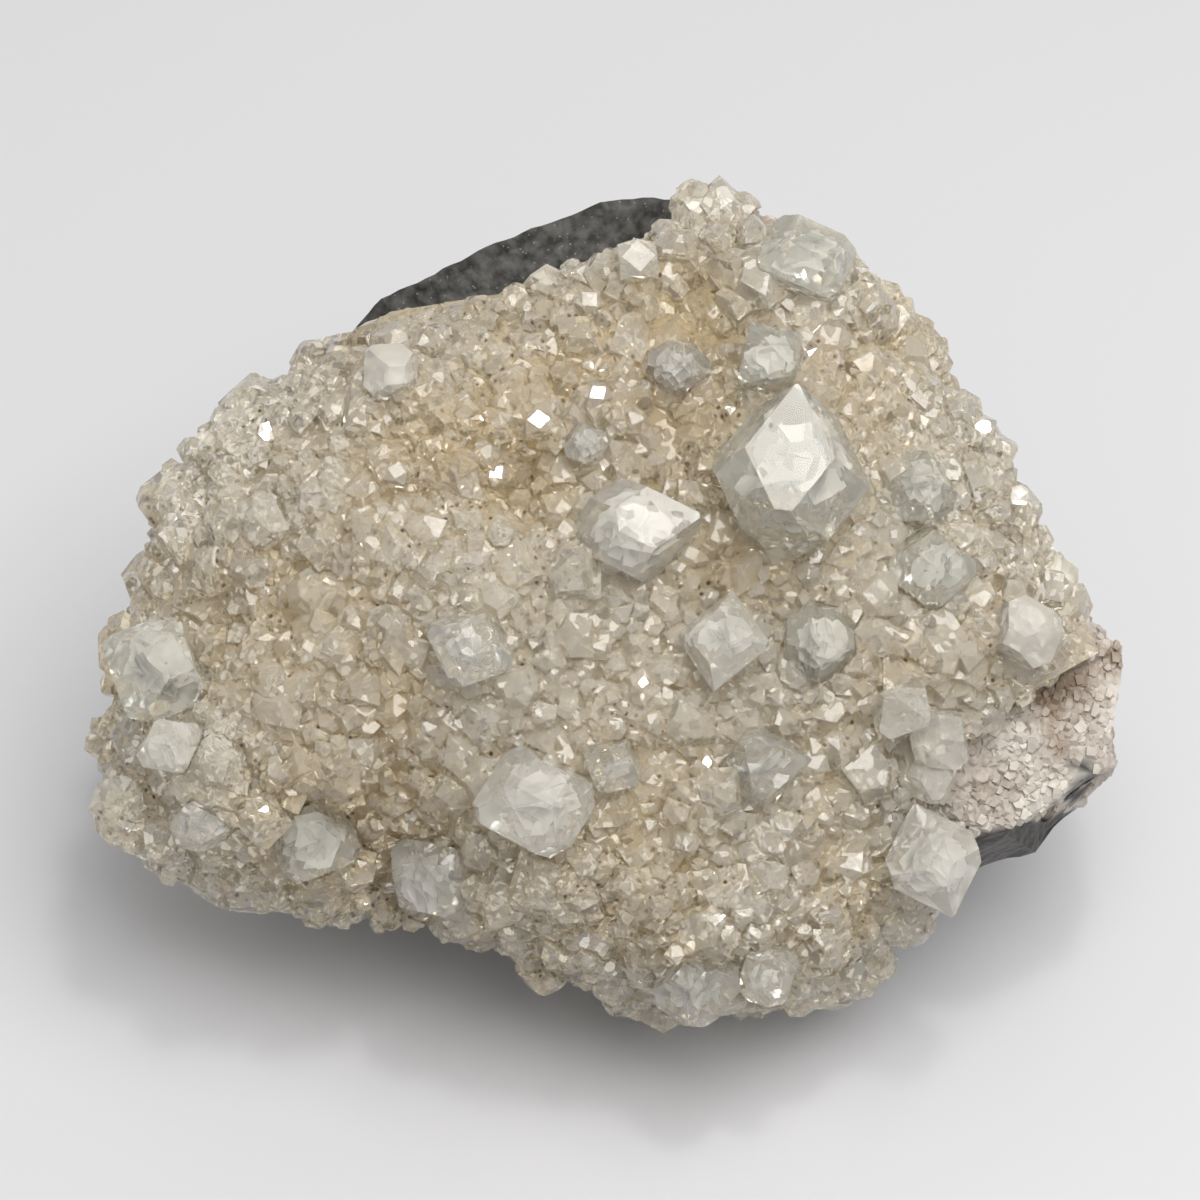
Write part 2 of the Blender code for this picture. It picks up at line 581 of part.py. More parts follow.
cluster = bpy.data.collections.new("apophyllite_cluster")
guides = bpy.data.collections.new("guides")
bpy.context.scene.collection.children.link(cluster)
bpy.context.scene.collection.children.link(guides)

clear_crystal = material("clear_apophyllite", CLEAR, 0.12)
green_crystal = material("green_apophyllite", GREEN, 0.14)
milky_crystal = material("milky_apophyllite", MILKY, 0.2)
cream_crystal = material("cream_apophyllite", CREAM, 0.28)
white_coat = material("white_chalcedony", WHITE, 0.6)
dark_rock = material("dark_basalt", DARK, 0.85)
FINISHES = {CLEAR: clear_crystal, GREEN: green_crystal, MILKY: milky_crystal, CREAM: cream_crystal}

# Basalt: one lump, cut flat where it stands on the table
rock = bmesh.new()
grid_surface(rock, ALL_RINGS, basalt_outside)
cut_away(rock, DOWN * MIDDLE_HEIGHT, DOWN)
bmesh.ops.triangulate(rock, faces=rock.faces[:])
add_object("basalt_matrix", rock, cluster, dark_rock)

# Chalcedony: the coat between the basalt and the crystals, open at the two pits
coat = shell(CRUST_RINGS + CHALCEDONY_RINGS, chalcedony_outside, chalcedony_inside)
chalcedony = add_object("chalcedony_crust", coat, cluster, white_coat)

# Large crystals: each gives way to the ones listed before it, and leaves a socket in the crust
rng = random.Random(SEED)
crust = add_object("crystal_crust", shell(CRUST_RINGS, crust_outside, crust_inside), cluster, cream_crystal)
room_under_crust = add_room("room_under_crust", CRUST_THICKNESS, guides)
room_under_crystals = add_room("room_under_crystals", DEEPEST_ROOT, guides)
room_under_sockets = add_room("room_under_sockets", DEEPEST_ROOT + GAP, guides)
taken = []
swollen_crystals = []
swollen_guides = bpy.data.collections.new("crystal_sockets")
guides.children.link(swollen_guides)
large = {name: ([values], colour) for name, (*values, colour) in LARGE_CRYSTALS.items()}
large["crystal_clump"] = CLUMP, MILKY
for name, (members, colour) in large.items():
    placed = [placed_crystal(values, rng) for values in members]
    piece = add_object(name, crystal(*placed[0]), cluster, FINISHES[colour])
    swollen = add_object(f"{name}_socket", crystal(*placed[0], swollen=GAP), swollen_guides)
    swollen.hide_render = True
    swollen.display_type = "WIRE"
    if len(members) > 1:
        grown = [crystal(*other) for other in placed[1:]]
        apply_boolean(piece, "UNION", collection=add_cutters(f"{name}_members", grown, guides))
        grown = [crystal(*other, swollen=GAP) for other in placed[1:]]
        apply_boolean(swollen, "UNION", collection=add_cutters(f"{name}_swollen", grown, guides))
    apply_boolean(piece, "DIFFERENCE", other=room_under_crystals)
    apply_boolean(swollen, "DIFFERENCE", other=room_under_sockets)
    bpy.context.view_layer.update()
    for earlier in swollen_crystals:
        if boxes_meet(piece, earlier):
            apply_boolean(piece, "DIFFERENCE", other=earlier)
    swollen_crystals.append(swollen)
    taken.extend((seat, values[2] * MM) for (_, seat, *_), values in zip(placed, members))

pits = []
for right, up, radius in PITS:
    column = math.atan2(up, right)
    seat, growth = skin(column, PIT_ANGLE)
    pit = bmesh.new()
    bmesh.ops.create_cone(
        pit, cap_ends=True, segments=PIT_SIDES, radius1=radius * MM, radius2=radius * MM, depth=PIT_DEPTH)
    turned = Matrix.Translation(seat) @ growth.to_track_quat("Z", "Y").to_matrix().to_4x4()
    bmesh.ops.transform(pit, matrix=turned, verts=pit.verts)
    pits.append(pit)
apply_boolean(chalcedony, "DIFFERENCE", collection=add_cutters("pits", pits, guides))

# Crust: the skin, with the smaller crystals joined to it and the sockets cut
small = []
for values in PLACED_CRYSTALS:
    placed = placed_crystal(values, rng, ends=(1,))
    small.append(crystal(*placed))
    taken.append((placed[1], values[2] * MM))
for placed in small_crystals(taken, rng):
    small.append(crystal(*placed))
apply_boolean(crust, "UNION", collection=add_cutters("small_crystals", small, guides))
apply_boolean(crust, "DIFFERENCE", other=room_under_crust)
apply_boolean(crust, "DIFFERENCE", collection=swollen_guides)
for piece in cluster.objects:
    keep_largest_body(piece)
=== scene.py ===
"""Apophyllite cluster on basalt: the finished look of every surface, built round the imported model."""

import json
import math

import bmesh
import bpy
import numpy as np
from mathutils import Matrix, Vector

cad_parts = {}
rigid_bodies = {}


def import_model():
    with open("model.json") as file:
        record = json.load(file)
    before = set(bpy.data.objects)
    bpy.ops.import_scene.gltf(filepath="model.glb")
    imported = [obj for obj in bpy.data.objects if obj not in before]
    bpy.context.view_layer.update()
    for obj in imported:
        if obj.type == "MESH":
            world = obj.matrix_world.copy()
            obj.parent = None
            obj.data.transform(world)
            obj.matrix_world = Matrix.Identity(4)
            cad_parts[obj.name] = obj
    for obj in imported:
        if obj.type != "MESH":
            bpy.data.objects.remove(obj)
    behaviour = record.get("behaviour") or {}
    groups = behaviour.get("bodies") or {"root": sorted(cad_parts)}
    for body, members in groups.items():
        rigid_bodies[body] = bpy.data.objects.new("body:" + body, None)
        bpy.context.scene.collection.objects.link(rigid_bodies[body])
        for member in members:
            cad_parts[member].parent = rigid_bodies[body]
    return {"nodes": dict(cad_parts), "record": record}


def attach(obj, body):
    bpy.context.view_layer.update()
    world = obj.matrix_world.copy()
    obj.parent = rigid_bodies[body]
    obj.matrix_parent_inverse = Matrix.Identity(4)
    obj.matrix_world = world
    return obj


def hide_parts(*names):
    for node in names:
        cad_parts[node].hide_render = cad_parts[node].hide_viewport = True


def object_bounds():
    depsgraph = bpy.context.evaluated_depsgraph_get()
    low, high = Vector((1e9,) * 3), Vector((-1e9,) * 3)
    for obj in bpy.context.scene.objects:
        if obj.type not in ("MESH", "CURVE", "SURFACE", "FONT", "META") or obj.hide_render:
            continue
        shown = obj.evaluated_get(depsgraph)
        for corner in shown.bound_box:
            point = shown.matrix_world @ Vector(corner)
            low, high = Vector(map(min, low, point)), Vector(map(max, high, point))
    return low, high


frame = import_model()
cad_low, cad_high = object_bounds()
MM = 0.001

# The specimen leans back: its crystal face looks up and forward at the photographer, who stands square to it. The
# face frame has X to the right, Y up the face and Z straight out of it, about the middle of the lump.
FACE_LEAN = math.radians(40)
LUMP_MIDDLE = np.array((0, 0, 34 * MM))
FACE_AXES = np.array((
    (1, 0, 0),
    (0, math.cos(FACE_LEAN), math.sin(FACE_LEAN)),
    (0, -math.sin(FACE_LEAN), math.cos(FACE_LEAN)),
))
CAMERA_DISTANCE = 420 * MM
PHOTO_WIDTH = 112.8 * MM

camera = bpy.data.objects.new("camera", bpy.data.cameras.new("camera"))
bpy.context.scene.collection.objects.link(camera)
bpy.context.scene.camera = camera
camera.location = LUMP_MIDDLE + CAMERA_DISTANCE * FACE_AXES[2]
camera.rotation_euler = (FACE_LEAN, 0, 0)
camera.data.sensor_width = 36
camera.data.lens = 36 * CAMERA_DISTANCE / PHOTO_WIDTH
camera.data.clip_start = 0.01


def to_face(points):
    """Row-frame points as right, up and out on the face: the offset from the middle along each face axis."""
    return (points - LUMP_MIDDLE) @ FACE_AXES.T


def from_face(places):
    """The reverse: the middle plus right, up and out along the face axes."""
    return LUMP_MIDDLE + places @ FACE_AXES


def material(name):
    """An empty node material and its Principled shader."""
    made = bpy.data.materials.new(name)
    made.use_nodes = True
    return made, made.node_tree.nodes["Principled BSDF"]


# The table and the studio. The table is a smooth, faintly glossy white sheet. A large softbox hangs above and a
# little in front on the right, a small bare lamp makes the glints, and white walls fill in from all sides.
table_material, table_shader = material("white_sheet")
table_shader.inputs["Base Color"].default_value = (0.545, 0.55, 0.575, 1)
table_shader.inputs["Roughness"].default_value = 0.32
table_mesh = bpy.data.meshes.new("table")
TABLE_HALF = 1.5
table_mesh.from_pydata(
    [(-TABLE_HALF, -TABLE_HALF, 0), (TABLE_HALF, -TABLE_HALF, 0), (TABLE_HALF, TABLE_HALF, 0),
     (-TABLE_HALF, TABLE_HALF, 0)], [], [(0, 1, 2, 3)])
table_mesh.materials.append(table_material)
table = bpy.data.objects.new("table", table_mesh)
bpy.context.scene.collection.objects.link(table)

room = bpy.data.worlds.new("room")
room.use_nodes = True
room.node_tree.nodes["Background"].inputs["Color"].default_value = (1.0, 0.985, 0.96, 1)
room.node_tree.nodes["Background"].inputs["Strength"].default_value = 0.60
bpy.context.scene.world = room
bpy.context.scene.view_settings.view_transform = "Standard"


def softbox(name, place, aim, size, power, colour):
    """A square area light at a place, turned to face the point it is aimed at."""
    light = bpy.data.lights.new(name, "AREA")
    light.shape = "RECTANGLE"
    light.size, light.size_y = size
    light.energy = power
    light.color = colour
    made = bpy.data.objects.new(name, light)
    bpy.context.scene.collection.objects.link(made)
    made.location = place
    way = bpy.data.objects.new("aim", None).location.copy()
    way.xyz = np.array(aim) - np.array(place)
    made.rotation_euler = way.to_track_quat("-Z", "Y").to_euler()
    return made


softbox("overhead", (0.14, -0.12, 0.58), (0, 0, 0.03), (0.44, 0.44), 3.5, (1.0, 0.98, 0.95))
lamp = softbox("lamp", (0.07, 0.0, 0.62), (0, 0, 0.03), (0.06, 0.06), 0.5, (1.0, 0.98, 0.95))


# Basalt: the broken lump of dark lava that everything grew on. It is dense and matt, with a fine sparkle of feldspar
# grains and a few tiny bubble holes, and its broken faces are rough all over except on the flat spot it rests on.
def lattice_noise(points, cell, seed):
    """Smooth random height from -1 to 1: random numbers on a cubic lattice, blended across each cell.

    The blend is the smoothstep curve 3t^2 - 2t^3 along each axis, applied to the eight corners of the cell.
    """
    table_of = np.random.default_rng(seed).random((32, 32, 32)) * 2 - 1
    scaled = points / cell
    base = np.floor(scaled).astype(int)
    part = scaled - base
    part = part * part * (3 - 2 * part)
    height = np.zeros(len(points))
    for corner in np.ndindex(2, 2, 2):
        at = (base + corner) % 32
        weight = np.prod(np.where(corner, part, 1 - part), axis=1)
        height += weight * table_of[at[:, 0], at[:, 1], at[:, 2]]
    return height


def positions(mesh):
    """All vertex places as one array."""
    flat = np.zeros(len(mesh.vertices) * 3)
    mesh.vertices.foreach_get("co", flat)
    return flat.reshape(-1, 3)


def normals(mesh):
    """All vertex normals as one array."""
    flat = np.zeros(len(mesh.vertices) * 3, np.float32)
    mesh.vertex_normals.foreach_get("vector", flat)
    return flat.reshape(-1, 3).astype(float)


def put_positions(mesh, places):
    """Writes all vertex places back."""
    mesh.vertices.foreach_set("co", np.ascontiguousarray(places, np.float32).ravel())
    mesh.update()


def set_attribute(mesh, name, values, domain="POINT"):
    """One number at each vertex, face or face corner, which the materials read by name."""
    made = mesh.attributes.new(name, "FLOAT", domain)
    made.data.foreach_set("value", np.ascontiguousarray(values, np.float32))


def refined_copy(node, name, cuts):
    """A merged copy of a CAD node's mesh, each triangle split into smaller ones a number of times."""
    shape = bmesh.new()
    shape.from_mesh(frame["nodes"][node].data)
    bmesh.ops.remove_doubles(shape, verts=shape.verts, dist=1e-6)
    for _ in range(cuts):
        bmesh.ops.subdivide_edges(shape, edges=shape.edges[:], cuts=1, use_grid_fill=True)
    bmesh.ops.triangulate(shape, faces=shape.faces[:])
    mesh = bpy.data.meshes.new(name)
    shape.to_mesh(mesh)
    shape.free()
    made = bpy.data.objects.new(name, mesh)
    bpy.context.scene.collection.objects.link(made)
    return made


def finish_piece(piece, finish, slot, *replaced):
    """Gives a piece its material and its place on the one body, and hides the CAD nodes it stands for. The slot is not
    used.
    """
    piece.data.materials.clear()
    piece.data.materials.append(finish)
    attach(piece, "root")
    if replaced:
        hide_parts(*replaced)


def inside_box(places):
    """Points held within the CAD model's box."""
    return np.clip(places, np.array(cad_low), np.array(cad_high))


def basalt_finish():
    """Near-black matt rock with paler feldspar specks and rust in its hollows."""
    made, shader = material("basalt")
    nodes, links = made.node_tree.nodes, made.node_tree.links
    place = nodes.new("ShaderNodeTexCoord")
    grain = nodes.new("ShaderNodeTexNoise")
    grain.inputs["Scale"].default_value = 900
    grain.inputs["Detail"].default_value = 6
    specks = nodes.new("ShaderNodeTexVoronoi")
    specks.inputs["Scale"].default_value = 1500
    blotch = nodes.new("ShaderNodeTexNoise")
    blotch.inputs["Scale"].default_value = 110
    blotch.inputs["Detail"].default_value = 4
    for texture in (grain, specks, blotch):
        links.new(place.outputs["Object"], texture.inputs["Vector"])
    tone = nodes.new("ShaderNodeValToRGB")
    tone.color_ramp.elements[0].position = 0.34
    tone.color_ramp.elements[0].color = (0.012, 0.012, 0.011, 1)
    tone.color_ramp.elements[1].position = 0.66
    tone.color_ramp.elements[1].color = (0.085, 0.085, 0.080, 1)
    links.new(grain.outputs["Fac"], tone.inputs["Fac"])
    speck_mask = nodes.new("ShaderNodeMapRange")
    speck_mask.inputs["From Min"].default_value = 0.16
    speck_mask.inputs["From Max"].default_value = 0.05
    links.new(specks.outputs["Distance"], speck_mask.inputs["Value"])
    pale = nodes.new("ShaderNodeMix")
    pale.data_type = "RGBA"
    pale.inputs["B"].default_value = (0.22, 0.22, 0.20, 1)
    links.new(speck_mask.outputs["Result"], pale.inputs["Factor"])
    links.new(tone.outputs["Color"], pale.inputs["A"])
    rust_mask = nodes.new("ShaderNodeMapRange")
    rust_mask.inputs["From Min"].default_value = 0.58
    rust_mask.inputs["From Max"].default_value = 0.74
    rust_mask.inputs["To Max"].default_value = 0.45
    links.new(blotch.outputs["Fac"], rust_mask.inputs["Value"])
    rust = nodes.new("ShaderNodeMix")
    rust.data_type = "RGBA"
    rust.inputs["B"].default_value = (0.085, 0.060, 0.038, 1)
    links.new(rust_mask.outputs["Result"], rust.inputs["Factor"])
    links.new(pale.outputs["Result"], rust.inputs["A"])
    links.new(rust.outputs["Result"], shader.inputs["Base Color"])
    shader.inputs["Roughness"].default_value = 0.78
    bump = nodes.new("ShaderNodeBump")
    bump.inputs["Strength"].default_value = 0.6
    bump.inputs["Distance"].default_value = 0.0002
    links.new(grain.outputs["Fac"], bump.inputs["Height"])
    links.new(bump.outputs["Normal"], shader.inputs["Normal"])
    return made


REST_MARGIN = 1.2 * MM
basalt = refined_copy("basalt_matrix", "basalt_lump", 3)
rock_points = positions(basalt.data)
rock_relief = (
    0.42 * lattice_noise(rock_points, 5.0 * MM, 1) + 0.30 * lattice_noise(rock_points, 2.1 * MM, 2)
    + 0.22 * np.abs(lattice_noise(rock_points, 1.1 * MM, 3)) - 0.30)
above_table = np.clip(rock_points[:, 2] / REST_MARGIN, 0, 1)
rock_points += normals(basalt.data) * (rock_relief * above_table * MM)[:, None]
rock_points[:, 2] = np.maximum(rock_points[:, 2], 0)
put_positions(basalt.data, inside_box(rock_points))
finish_piece(basalt, basalt_finish(), "basalt", "basalt_matrix")


# Chalcedony: the white coat between rock and crystals, laid down as sugary, waxy crusts. It shows as a pale line
# along the rock's edge and as a bare patch at the lower right, stained brown where water has run.
def chalcedony_finish():
    """Waxy white with grey and brown clouds and a sugary grain."""
    made, shader = material("chalcedony")
    nodes, links = made.node_tree.nodes, made.node_tree.links
    place = nodes.new("ShaderNodeTexCoord")
    cloud = nodes.new("ShaderNodeTexNoise")
    cloud.inputs["Scale"].default_value = 160
    cloud.inputs["Detail"].default_value = 6
    grain = nodes.new("ShaderNodeTexVoronoi")
    grain.inputs["Scale"].default_value = 1100
    links.new(place.outputs["Object"], cloud.inputs["Vector"])
    links.new(place.outputs["Object"], grain.inputs["Vector"])
    tone = nodes.new("ShaderNodeValToRGB")
    tone.color_ramp.elements[0].position = 0.36
    tone.color_ramp.elements[0].color = (0.25, 0.19, 0.14, 1)
    tone.color_ramp.elements[1].position = 0.62
    tone.color_ramp.elements[1].color = (0.50, 0.465, 0.42, 1)
    middle = tone.color_ramp.elements.new(0.46)
    middle.color = (0.38, 0.335, 0.29, 1)
    links.new(cloud.outputs["Fac"], tone.inputs["Fac"])
    worn = nodes.new("ShaderNodeAttribute")
    worn.attribute_name = "worn"
    rock = nodes.new("ShaderNodeMix")
    rock.data_type = "RGBA"
    rock.inputs["B"].default_value = (0.030, 0.028, 0.025, 1)
    links.new(worn.outputs["Fac"], rock.inputs["Factor"])
    links.new(tone.outputs["Color"], rock.inputs["A"])
    links.new(rock.outputs["Result"], shader.inputs["Base Color"])
    shader.inputs["Roughness"].default_value = 0.42
    bump = nodes.new("ShaderNodeBump")
    bump.inputs["Strength"].default_value = 0.7
    bump.inputs["Distance"].default_value = 0.0002
    links.new(grain.outputs["Distance"], bump.inputs["Height"])
    links.new(bump.outputs["Normal"], shader.inputs["Normal"])
    return made


coat = refined_copy("chalcedony_crust", "chalcedony_coat", 3)
coat_points = positions(coat.data)
coat_relief = (
    0.34 * lattice_noise(coat_points, 3.4 * MM, 4) + 0.24 * np.abs(lattice_noise(coat_points, 1.5 * MM, 5))
    + 0.14 * np.abs(lattice_noise(coat_points, 0.8 * MM, 6)) - 0.16)
coat_points += normals(coat.data) * (coat_relief * MM)[:, None]
put_positions(coat.data, inside_box(coat_points))
# Where the rock is bare, as seen in the photo: two pits, with right, up and radius, and the ledge under a line that
# starts at a place and climbs to the right, all in mm
PITS = ((45.6, -16.2, 1.3), (44.5, -18.3, 0.9))
LEDGE_START = (33.5, -22.8)
LEDGE_CLIMB = 0.30


def worn_coat(points):
    """1 where the coat is worn down to the rock and 0 elsewhere, by distance from the pits and the ledge's line."""
    places = to_face(points) / MM
    places *= (CAMERA_DISTANCE / MM / (CAMERA_DISTANCE / MM - places[:, 2]))[:, None]
    ragged = 0.5 * lattice_noise(points, 1.2 * MM, 8)
    line = LEDGE_START[1] + LEDGE_CLIMB * (places[:, 0] - LEDGE_START[0])
    depth = np.where(places[:, 0] > LEDGE_START[0], line - places[:, 1], -1)
    for right, up, radius in PITS:
        depth = np.maximum(depth, radius - np.hypot(places[:, 0] - right, places[:, 1] - up))
    return np.clip(0.5 + 2 * (depth + ragged), 0, 1)


set_attribute(coat.data, "worn", worn_coat(positions(coat.data)))
finish_piece(coat, chalcedony_finish(), "chalcedony", "chalcedony_crust")


# The druse: thousands of blocky crystals, grown into each other over the crust. Each is a square prism closed by a
# low four-sided pyramid whose faces sit over the prism's edges, often cut off by a small square end. Tips are pale
# and glassy, and brown specks are caught in the seams. The druse is stained tan in broad patches, darker tan is
# painted into its recesses and grooves as painted shade, and white along the crystals' edges is a painted highlight.
def crystal_template(fall, end, root):
    """One crystal of width 1 with its tip at height 0, as places and triangles.

    The prism reaches half a width each way. The pyramid drops by `fall` for each unit of |x| + |y|, down to the
    prism's sides, and the tip is cut off where |x| + |y| is below `end`.
    """
    half = 0.5
    around = np.array(((1, 1), (-1, 1), (-1, -1), (1, -1))) * half
    sides = np.array(((1, 0), (0, 1), (-1, 0), (0, -1)))
    low = np.c_[around, np.full(4, -root)]
    shoulder = np.c_[around, np.full(4, -fall * 2 * half)]
    gable = np.c_[sides * half, np.full(4, -fall * half)]
    top = np.c_[sides * end, np.full(4, -fall * end)]
    corners = np.vstack((low, shoulder, gable, top))
    corners[:, 2] += fall * end
    faces = [(12, 13, 14, 15), (3, 2, 1, 0)]
    for n in range(4):
        after = (n + 1) % 4
        faces.append((8 + after, 4 + n, n, after, 4 + after))
        faces.append((4 + n, 8 + after, 12 + after, 12 + n, 8 + n))
    triangles = [(face[0], one, two) for face in faces for one, two in zip(face[1:], face[2:])]
    return corners, np.array(triangles)


def mesh_object(name, points, triangles):
    """A flat-faced piece from arrays of places and triangles."""
    mesh = bpy.data.meshes.new(name)
    mesh.vertices.add(len(points))
    mesh.loops.add(triangles.size)
    mesh.polygons.add(len(triangles))
    mesh.vertices.foreach_set("co", np.ascontiguousarray(points, np.float32).ravel())
    mesh.loops.foreach_set("vertex_index", np.ascontiguousarray(triangles, np.int32).ravel())
    mesh.polygons.foreach_set("loop_start", np.arange(0, triangles.size, 3, dtype=np.int32))
    mesh.update(calc_edges=True)
    mesh.shade_flat()
    made = bpy.data.objects.new(name, mesh)
    bpy.context.scene.collection.objects.link(made)
    return made


def unit(vectors):
    """Vectors scaled to length 1."""
    return vectors / np.linalg.norm(vectors, axis=1, keepdims=True)


def triangle_corners(node):
    """The three corners of each triangle of a CAD node, as one array."""
    mesh = frame["nodes"][node].data
    index = np.zeros(len(mesh.polygons) * 3, np.int64)
    mesh.loops.foreach_get("vertex_index", index)
    return positions(mesh)[index].reshape(-1, 3, 3)


FACING = 2.5


def growth_way(points):
    """The way the layers grow: out of the lump's middle, turned towards its faces."""
    places = to_face(points)
    places[:, 2] *= FACING
    return unit(places) @ FACE_AXES


LARGE_NODES = sorted(n for n in frame["nodes"] if n.startswith("crystal_") and n != "crystal_crust")


def depth_in_large(points):
    """How deep each point lies inside the nearest large crystal, in metres, negative outside all of them.

    A point's depth in one crystal is the smallest distance to its face planes.
    """
    deepest = np.full(len(points), -np.inf)
    for node in LARGE_NODES:
        corners = triangle_corners(node)
        across = np.cross(corners[:, 1] - corners[:, 0], corners[:, 2] - corners[:, 0])
        real = np.linalg.norm(across, axis=1) > 1e-9
        outward = unit(across[real])
        reach = (outward * corners[real, 0]).sum(axis=1)
        deepest = np.maximum(deepest, (reach - points @ outward.T).min(axis=1))
    return deepest


def seats_on(node, count, rng):
    """Random places spread evenly over the outside of a CAD layer: triangles are drawn in proportion to area."""
    corners = triangle_corners(node)
    across = np.cross(corners[:, 1] - corners[:, 0], corners[:, 2] - corners[:, 0])
    area = np.linalg.norm(across, axis=1)
    outside = (across * growth_way(corners.mean(axis=1))).sum(axis=1) > -0.1 * area
    chance = np.where(outside, area, 0)
    pick = rng.choice(len(corners), count, p=chance / chance.sum())
    one, two = rng.random((2, count))
    flip = one + two > 1
    one[flip], two[flip] = 1 - one[flip], 1 - two[flip]
    chosen = corners[pick]
    return (chosen[:, 0] + (chosen[:, 1] - chosen[:, 0]) * one[:, None]
            + (chosen[:, 2] - chosen[:, 0]) * two[:, None])


def thinned(points, spacing):
    """Keeps one point in each cell of a cubic grid of this spacing."""
    cells = np.floor(points / spacing).astype(int)
    _, first = np.unique(cells, axis=0, return_index=True)
    return points[np.sort(first)]


crust_rng = np.random.default_rng(7)
ALL_SEATS = seats_on("crystal_crust", 90000, crust_rng)
SURROUNDINGS = thinned(ALL_SEATS, 1.6 * MM)
RELIEF_SPREAD = 3.2 * MM
CELL = 0.7 * MM


def standing(points):
    """How far each point stands out of its surroundings, in metres.

    That is its height along the growth way over the mean of the crust about it, weighted by a bell curve. It is
    worked out once for each cell of a cubic grid.
    """
    cells = np.floor(points / CELL).astype(int)
    _, first, cell_of = np.unique(cells, axis=0, return_index=True, return_inverse=True)
    places = points[first]
    growth = growth_way(places)
    height = np.zeros(len(places))
    for start in range(0, len(places), 2000):
        some = slice(start, start + 2000)
        apart = places[some, None] - SURROUNDINGS[None]
        weight = np.exp(-(apart ** 2).sum(axis=2) / RELIEF_SPREAD ** 2)
        rise = np.einsum("nmi,ni->nm", apart, growth[some])
        height[some] = (weight * rise).sum(axis=1) / weight.sum(axis=1)
    return height[cell_of.ravel()]


# Brown patches of the face, partly a real tan stain and partly painted shade in its recesses, more of them down its
# left side, and, with a negative strength, paler patches over its swells: right and up in mm, spread in mm, and how
# brown
HOLLOWS = (
    (7.5, 28.0, 5.0, 1.0), (-7.5, 10.5, 5.0, 0.9), (9.5, 16.0, 5.0, 0.5), (-16.0, 15.0, 6.0, 0.45),
    (-25.0, -24.0, 7.0, 0.6), (-15.0, -18.0, 5.0, 0.5), (22.0, -28.0, 5.0, 0.5), (25.0, 20.0, 7.0, 0.45),
    (14.0, 2.0, 5.0, 0.4), (-30.0, 0.0, 5.0, 0.5), (5.0, -28.0, 7.0, 0.35), (-2.0, 24.0, 8.0, 0.35),
    (-11.0, 1.5, 8.0, -0.6), (-33.0, 14.0, 7.0, -0.5), (11.0, -22.0, 7.0, -0.4), (-8.0, -16.0, 6.0, -0.4),
    (30.0, 4.0, 6.0, -0.3), (20.0, 35.0, 6.0, -0.9), (28.0, -16.0, 5.0, -0.4), (-36.0, -14.0, 6.0, -0.3),
    (2.0, 35.0, 3.0, -0.9), (8.0, 37.0, 3.0, -0.9), (-5.0, 32.5, 2.5, -0.9), (34.0, 14.0, 6.0, -0.4),
    (-34.0, -3.0, 9.0, 0.4), (-26.0, -22.0, 8.0, 0.3), (-18.0, -9.0, 5.0, 0.3), (-24.0, 22.0, 6.0, 0.3),
)


def brownness_and_shade(points):
    """How brown the druse is at each point: broad random clouds of tan stain, plus bell curves about the listed
    patches, which are partly painted shade.
    """
    places = to_face(points) / MM
    brown = 0.25 + 0.30 * lattice_noise(points, 9 * MM, 21) + 0.22 * lattice_noise(points, 3.5 * MM, 22)
    for right, up, spread, strength in HOLLOWS:
        away = ((places[:, 0] - right) ** 2 + (places[:, 1] - up) ** 2) / spread ** 2
        brown += strength * np.exp(-away)
    return np.clip(brown, 0, 1)


def crystal_bodies(seats, widths, rise, most_lean, templates, rng, axis=None):
    """Crystals standing on the crust, as one array of corners for each, with the template each one follows.

    Each template is scaled by a width, a depth and a length, turned so that its Z axis follows the growth way plus
    a random lean, or a given axis, and set with its tip a share `rise` of its width above the seat.
    """
    growth = growth_way(seats)
    sideways = unit(np.cross(growth, rng.normal(size=seats.shape)))
    lean = rng.random(len(seats)) ** 0.7 * most_lean
    if axis is None:
        axis = growth * np.cos(lean)[:, None] + sideways * np.sin(lean)[:, None]
    right = unit(np.cross(axis, rng.normal(size=seats.shape)))
    turned = np.stack((right, np.cross(axis, right), axis), axis=1)
    scale = widths[:, None] * rng.uniform((0.82, 0.82, 0.85), (1.12, 1.12, 1.25), seats.shape)
    tips = seats + growth * (widths * rng.uniform(*rise, len(seats)))[:, None]
    kinds = rng.integers(len(templates), size=len(seats))
    shapes = np.array([shape for shape, _ in templates])[kinds] * scale[:, None]
    return np.einsum("nki,nij->nkj", shapes, turned) + tips[:, None], kinds


def joined(name, bodies, kinds, templates, rng, least_tone=0.0, most_flaw=1.0):
    """One mesh of separate crystals, with a random tone and a random share of flaws for each."""
    faces = np.array([triangles for _, triangles in templates])[kinds]
    faces = faces + np.arange(len(bodies))[:, None, None] * bodies.shape[1]
    piece = mesh_object(name, inside_box(bodies.reshape(-1, 3)), faces.reshape(-1, 3))
    tones = rng.uniform(least_tone, 1, len(bodies))
    set_attribute(piece.data, "tone", np.repeat(tones, faces.shape[1]), "FACE")
    set_attribute(piece.data, "flaw", np.repeat(rng.random(len(bodies)) * most_flaw, faces.shape[1]), "FACE")
    return piece


def apart_groups(bodies):
    """Sorts crystals into groups in which none can touch another: largest first, each into the first free group."""
    centres = bodies.mean(axis=1)
    radii = np.linalg.norm(bodies - centres[:, None], axis=2).max(axis=1)
    groups = np.full(len(bodies), -1)
    for body in np.argsort(-radii):
        near = ((centres - centres[body]) ** 2).sum(axis=1) < (radii + radii[body]) ** 2
        taken = set(groups[near])
        groups[body] = next(group for group in range(len(bodies)) if group not in taken)
    return groups


WHITE = (0.985, 0.975, 0.94)
DUST = (0.15, 0.085, 0.04)


